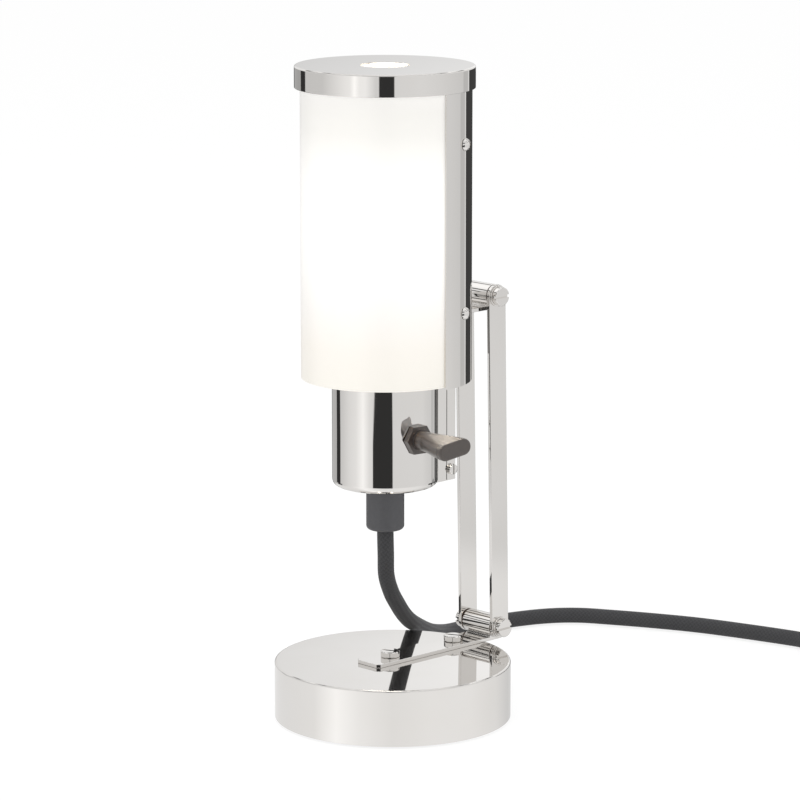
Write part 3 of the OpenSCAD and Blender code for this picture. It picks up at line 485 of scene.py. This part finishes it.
finishes = {
    "nickel": polished_nickel(),
    "steel": turned_steel(),
    "brass": drawn_brass(),
    # A dull grey casting with a sandy skin
    "iron": speckled("cast_iron", "#3A3A3C", "#4B4B4D", 1.2, 0.7, 0.2),
    # Soft black cloth, matt all over
    "felt": speckled("wool_felt", "#17171A", "#2A2A2D", 0.6, 0.95, 0.3),
    "opal": opal_glass(),
    "bulb": lit_bulb(),
    # A dark brown moulding with a soft gloss
    "phenolic": speckled("moulded_phenolic", "#352D28", "#473B33", 2.5, 0.4, 0.004, coat=0.8, coat_rough=0.3),
    # An off-white insulator under a clear glaze
    "porcelain": speckled("glazed_porcelain", "#EDEBE4", "#F6F4EF", 6, 0.2, 0.0, coat=0.5),
    # Dull brown board with a fine fleck
    "fibre": speckled("vulcanised_fibre", "#3E2A1D", "#513726", 0.8, 0.6, 0.02),
    # A plain charcoal moulding, half matt
    "rubber": speckled("moulded_rubber", "#4D4D50", "#565659", 1.5, 0.5, 0.01),
    "textile": textile_braid(),
}
slot_of = {row["node"]: row["material_slot"] for row in frame["record"]["subparts"]}
for name, node in nodes.items():
    node.data.materials.clear()
    node.data.materials.append(finishes[slot_of[name]])
for cord in cords.values():
    cord.data.materials.append(finishes["textile"])


# Edges of the metalwork -------------------------------------------------------------------------

EASED = (
    "base_shell", "base_strap", "head_strap", "arm_bar_right", "arm_bar_left", "spine", "lower_washers",
    "upper_washers", "cap",
)
EDGE_EASE, EDGE_STEPS = 0.2 * MM, 3
EDGE_ANGLE, FLAT_ANGLE = np.radians(40), np.radians(0.5)
JOIN_GAP = 0.001 * MM
FACE_WEIGHT = 50


def ease_edges(node, width):
    """Joins a metal piece's triangles, makes its flat faces whole, rounds each edge over 40 degrees, and makes the
    shading even over the large faces."""
    weld = node.modifiers.new("join_triangles", "WELD")
    weld.merge_threshold = JOIN_GAP
    flats = node.modifiers.new("whole_faces", "DECIMATE")
    flats.decimate_type, flats.angle_limit = "DISSOLVE", FLAT_ANGLE
    edges = node.modifiers.new("eased_edges", "BEVEL")
    edges.width, edges.segments = width, EDGE_STEPS
    edges.limit_method, edges.angle_limit = "ANGLE", EDGE_ANGLE
    edges.use_clamp_overlap = False
    even = node.modifiers.new("even_shading", "WEIGHTED_NORMAL")
    even.mode, even.weight, even.keep_sharp = "FACE_AREA", FACE_WEIGHT, False


for name in EASED:
    ease_edges(nodes[name], EDGE_EASE)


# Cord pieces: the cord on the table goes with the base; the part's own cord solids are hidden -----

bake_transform(cords["cord_upper"])
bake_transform(cords["cord_lower"])
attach(cords["cord_floor"], "base")
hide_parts("cord_drop")
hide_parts("cord_drop")
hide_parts("cord_run", "cord_coil")
for name, far_end, lay in (
    ("cord_upper", "object", "hanging"), ("cord_lower", "object", "hanging"), ("cord_floor", "plug", "coiled"),
):
    path = paths[name]


# Stage: table -----------------------------------------------------------------------------------

TABLE_HALF, TABLE_Z = 8.0, -0.3 * MM
TABLE_GLOW = 0.84


def white_table():
    """A wide white table top. The camera and mirrors see it as white with a soft shadow; it lights the rest as
    white card does."""
    material, tree = new_material("white_table")
    ray = put(tree, "ShaderNodeLightPath")
    seen = calc(tree, "ADD", ray.outputs["Is Camera Ray"], ray.outputs["Is Glossy Ray"])
    seen = calc(tree, "ADD", seen, ray.outputs["Is Transmission Ray"], use_clamp=True)
    plain = put(tree, "ShaderNodeBsdfDiffuse", {"Color": linear("#F2F2F2")})
    shadow = put(tree, "ShaderNodeBsdfDiffuse", {"Color": linear("#808080")})
    glow = put(tree, "ShaderNodeEmission", {"Color": WHITE, "Strength": TABLE_GLOW})
    bright = put(tree, "ShaderNodeAddShader", {0: shadow.outputs[0], 1: glow.outputs[0]})
    close(tree, put(tree, "ShaderNodeMixShader", {0: seen, 1: plain.outputs[0], 2: bright.outputs[0]}))
    corners = TABLE_HALF * np.array([[-1, -1, 0], [1, -1, 0], [1, 1, 0], [-1, 1, 0]])
    table = mesh_piece("table_top", corners + TABLE_Z * UP, [[0, 1, 2, 3]])
    table.data.materials.append(material)


# Stage: what mirrors see ------------------------------------------------------------------------

# Directions are in degrees: turn goes from the camera's direction to the right, and rise goes up. A list of light
# gives pairs of a direction and a brightness.

TENT_R = 2.4
TENT_Z = 0.2 * MM
BASE_R = (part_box("base_shell")[1].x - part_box("base_shell")[0].x) / 2

# Mesh of the tent: its step round the lamp, fine and coarse steps outwards, and steps upwards
TENT_STEP = 0.5
FINE_TO, FINE_COUNT, COARSE_FROM, COARSE_COUNT = 0.6, 31, 0.65, 24
RISE_FROM, RISE_TO, RISE_COUNT = 0.5, 89.5, 179
DRUM_RAYS_TO, DRUM_RAYS_FADE = 0.2, 0.3

# Light over turn: on the table near the lamp, on the cards, and further off
NEAR_LIGHT = (
    (-180, 0.9), (-125, 0.98), (-82, 1.05), (-56, 1.32), (-32, 1.15), (0, 1.04), (37, 1.09), (82, 1.085),
    (120, 0.98), (151, 0.75), (180, 0.7),
)
MIDDLE_LIGHT = (
    (-180, 0.06), (-167, 0.06), (-161, 0.56), (-133, 0.58), (-116, 0.75), (-102, 0.83), (-84, 0.97), (-65, 1.06),
    (-48, 1.32), (-34, 1.03), (-26, 0.95), (16, 0.91), (36, 0.92), (88, 0.93), (103, 0.86), (117, 0.82),
    (118.5, 0.66), (130, 0.66), (131, 0.95), (133, 0.95), (134, 0.06), (180, 0.06),
)
FAR_LIGHT = (
    (-180, 0.06), (-167, 0.06), (-161, 0.48), (-137, 0.46), (-117, 0.76), (-85, 0.78), (-52, 1.1), (-44, 1.16),
    (-38, 1.42), (-32, 1.18), (-24, 1.18), (-11, 0.86), (14, 0.92), (47, 0.95), (76, 0.9), (103, 0.83),
    (117, 0.79), (118.5, 0.65), (130, 0.65), (131, 0.95), (133, 0.95), (134, 0.06), (180, 0.06),
)
CARDS_FROM, CARDS_FADE = 0.2, 0.12
FAR_FROM, FAR_FADE = 0.7, 0.6

# Two black flags: turn of the left and the right edge, each at the two distances
FLAG_AT = (0.6, 1.36)
FLAGS = (((-26, -7), (16, 12)), ((-128, -133), (-112, -120)))
FLAG_LIGHT, FLAG_SOFT = 0.04, 1.2

# Light over rise, on the roof with its two round seams and on the wall behind the lamp
ROOF_LIGHT = (
    (0, 0.95), (20, 1.0), (25, 1.0), (34, 1.1), (35.5, 0.1), (39.5, 0.1), (40.5, 1.2), (50, 1.4), (51, 0.12),
    (56, 0.12), (57, 1.3), (70, 1.1),
)
REAR_LIGHT = ((0, 0.6), (8, 0.7), (12.6, 0.78), (14, 0.9), (15.5, 1.03), (22, 1.08), (30, 1.1))

# The cards' top edge, the lowest seam, the opening in front, and the wall behind the lamp with its slope of light
# from side to side
CARD_TOP, CARD_TOP_FADE = 2, 3
SEAM_TURN, SEAM_TURN_SOFT, SEAM_RISE, SEAM_RISE_SOFT, SEAM_LIGHT = (-125, -80), 6, (20.5, 25.5), 1, 0.08
OPENING_TURN, OPENING_RISE, OPENING_SOFT, OPENING_LIGHT = (-30, 15), (26, 41), 3, 0.05
REAR_HALF, REAR_TOP, REAR_SOFT = 14, 26, 6
REAR_SLOPE, REAR_SLOPE_HALF = 0.03, 6

# A small black card in front, by its distance from the strap's front corner, its place beside the line to the camera
# and its edges
STRAP_CORNER = np.array([5.7, -14.8]) * MM
CARD_AWAY, CARD_ASIDE = 0.3, -12 * MM
CARD_HALF, CARD_LOW, CARD_HIGH = 16 * MM, 86 * MM, 122 * MM
CARD_LIGHT = 0.04


def between(x, low, high, soft):
    """1 from low to high with soft edges, and 0 outside."""
    return smooth((x - low) / soft + 0.5) * smooth((high - x) / soft + 0.5)


def look_up(x, pairs):
    """The value at x on straight lines between the pairs of a list."""
    return np.interp(x, *zip(*pairs))


def card_light(turn, away):
    """Brightness of the table and the cards on it, as mirrors see them, at a turn and a distance from the lamp. Near
    the lamp the table is plain, with a bright sheet front left. Further off stand a bright card front left, a black
    flag in front, a wide black one behind on the right and a slim one behind on the left."""
    near, middle, far = (look_up(turn, pairs) for pairs in (NEAR_LIGHT, MIDDLE_LIGHT, FAR_LIGHT))
    cards = middle + (far - middle) * smooth((away - FAR_FROM) / FAR_FADE)
    for left, right in FLAGS:
        flag = between(turn, np.interp(away, FLAG_AT, left), np.interp(away, FLAG_AT, right), FLAG_SOFT)
        cards = cards * (1 - flag) + FLAG_LIGHT * flag
    mix = smooth((away - CARDS_FROM) / CARDS_FADE)
    return near * (1 - mix) + cards * mix


def tent_light(turn, rise):
    """Brightness of the tent's wall and roof. The cards end just over the table; above them is white cloth with three
    dark seams, the lowest only on the left, and in front the dark opening that the camera looks through. The wall
    behind the lamp is plain and brightens upwards."""
    wall = card_light(turn, TENT_R)
    roof = look_up(rise, ROOF_LIGHT)
    low_seam = between(turn, *SEAM_TURN, SEAM_TURN_SOFT) * between(rise, *SEAM_RISE, SEAM_RISE_SOFT)
    roof = roof + (SEAM_LIGHT - roof) * low_seam
    front = wall + (roof - wall) * smooth((rise - CARD_TOP) / CARD_TOP_FADE)
    opening = between(turn, *OPENING_TURN, OPENING_SOFT) * between(rise, *OPENING_RISE, OPENING_SOFT)
    front = front + (OPENING_LIGHT - front) * opening
    aside = (turn % 360) - 180
    rear = look_up(rise, REAR_LIGHT) * (1 - REAR_SLOPE * np.clip(aside, -REAR_SLOPE_HALF, REAR_SLOPE_HALF))
    behind = between(aside, -REAR_HALF, REAR_HALF, REAR_SOFT) * (1 - smooth((rise - REAR_TOP) / REAR_SOFT))
    return front + (rear - front) * behind


def heading(turn):
    """Unit vectors on the table at a turn from the camera's direction."""
    angle = np.radians(turn)[..., None]
    return np.cos(angle) * TO_CAMERA + np.sin(angle) * TO_RIGHT


def for_mirrors(piece, material):
    """Dresses a piece that only mirrors see."""
    piece.data.materials.append(material)
    piece.visible_camera = piece.visible_diffuse = piece.visible_shadow = False
    piece.visible_transmission = piece.visible_volume_scatter = False


def light_tent():
    """What mirrors see round the lamp, and nothing else does. Over the table, point(turn, s) = q e(turn / 2) +
    s e(turn), with e(t) the direction at that turn from the camera's: it follows the rays that the drum mirrors,
    with q its radius near the drum and none further off. From the tent's radius R on it is a dome,
    R (cos rise e(turn), sin rise)."""
    turn = np.arange(-180, 180 + TENT_STEP / 2, TENT_STEP)
    away = np.concatenate([np.linspace(0, FINE_TO, FINE_COUNT), np.linspace(COARSE_FROM, TENT_R, COARSE_COUNT)])
    rise = np.linspace(RISE_FROM, RISE_TO, RISE_COUNT)
    out = np.concatenate([away, TENT_R * np.cos(np.radians(rise))])
    up = np.concatenate([np.full(len(away), TENT_Z), TENT_R * np.sin(np.radians(rise))])
    apart = smooth((out - DRUM_RAYS_TO) / DRUM_RAYS_FADE)
    turns, outs = np.meshgrid(turn, out, indexing="ij")
    flat = outs[..., None] * heading(turns) + (BASE_R * (1 - apart))[None, :, None] * heading(turns / 2)
    flat[..., 1] += HEAD_Y * apart
    points = np.concatenate([flat, np.broadcast_to(up[:, None], (*turns.shape, 1))], axis=-1).reshape(-1, 3)
    n, m = turns.shape
    i, j = (x.ravel() for x in np.meshgrid(np.arange(n), np.arange(m - 1), indexing="ij"))
    k = (i + 1) % n
    quads = np.column_stack([i * m + j, i * m + j + 1, k * m + j + 1, k * m + j])
    tent = mesh_piece("light_tent", points, quads.tolist())
    level = np.concatenate(
        [card_light(turns[:, : len(away)], outs[:, : len(away)]), tent_light(turn[:, None], rise[None, :])], axis=1
    )
    light = tent.data.attributes.new("light", "FLOAT", "POINT")
    light.data.foreach_set("value", level.ravel().astype(np.float32))
    material, tree = new_material("tent_cloth")
    value = put(tree, "ShaderNodeAttribute", attribute_name="light").outputs["Fac"]
    close(tree, put(tree, "ShaderNodeEmission", {"Color": WHITE, "Strength": value}))
    for_mirrors(tent, material)


def black_card():
    """A small black card close in front, which darkens the strap's front corner in mirrors."""
    middle = STRAP_CORNER + CARD_AWAY * TO_CAMERA + CARD_ASIDE * TO_RIGHT
    ends = middle + np.array([-1, 1, 1, -1])[:, None] * CARD_HALF * TO_RIGHT
    heights = [CARD_LOW, CARD_LOW, CARD_HIGH, CARD_HIGH]
    card = mesh_piece("black_card", np.column_stack([ends, heights]), [[0, 1, 2, 3]])
    material, tree = new_material("black_card")
    close(tree, put(tree, "ShaderNodeEmission", {"Color": WHITE, "Strength": CARD_LIGHT}))
    for_mirrors(card, material)


# Stage: light -----------------------------------------------------------------------------------

LAMP_FRONT, LAMP_LEFT, LAMP_UP = 0.25, 0.15, 1.8
LAMP_AIM_UP = 0.12
LAMP_SIZE, LAMP_WATTS = 1.2, 10.0
SKY_LIGHT, SKY_SEEN = 0.68, 1.0


def soft_lamp():
    """A wide soft lamp overhead, a little to the front and the left, which mirrors don't see."""
    data = bpy.data.lights.new("soft_lamp", "AREA")
    data.shape, data.size, data.energy = "DISK", LAMP_SIZE, LAMP_WATTS
    lamp = bpy.data.objects.new("soft_lamp", data)
    bpy.context.scene.collection.objects.link(lamp)
    place = np.array([*(LAMP_FRONT * TO_CAMERA - LAMP_LEFT * TO_RIGHT), LAMP_UP])
    lamp.matrix_world = facing(place, unit(place - LAMP_AIM_UP * UP))
    lamp.visible_glossy = lamp.visible_camera = False


def studio_world():
    """White all round for the camera and mirrors, and a plain soft light for the object."""
    world = bpy.data.worlds.new("studio")
    bpy.context.scene.world = world
    world.use_nodes = True
    tree = world.node_tree
    tree.nodes.clear()
    ray = put(tree, "ShaderNodeLightPath")
    seen = calc(tree, "ADD", ray.outputs["Is Camera Ray"], ray.outputs["Is Glossy Ray"], use_clamp=True)
    level = put(tree, "ShaderNodeMapRange", {"Value": seen, "To Min": SKY_LIGHT, "To Max": SKY_SEEN})
    sky = put(tree, "ShaderNodeBackground", {"Color": WHITE, "Strength": level.outputs["Result"]})
    put(tree, "ShaderNodeOutputWorld", {"Surface": sky.outputs[0]})


white_table()
light_tent()
black_card()
soft_lamp()
studio_world()
bpy.context.scene.view_settings.view_transform = "Standard"
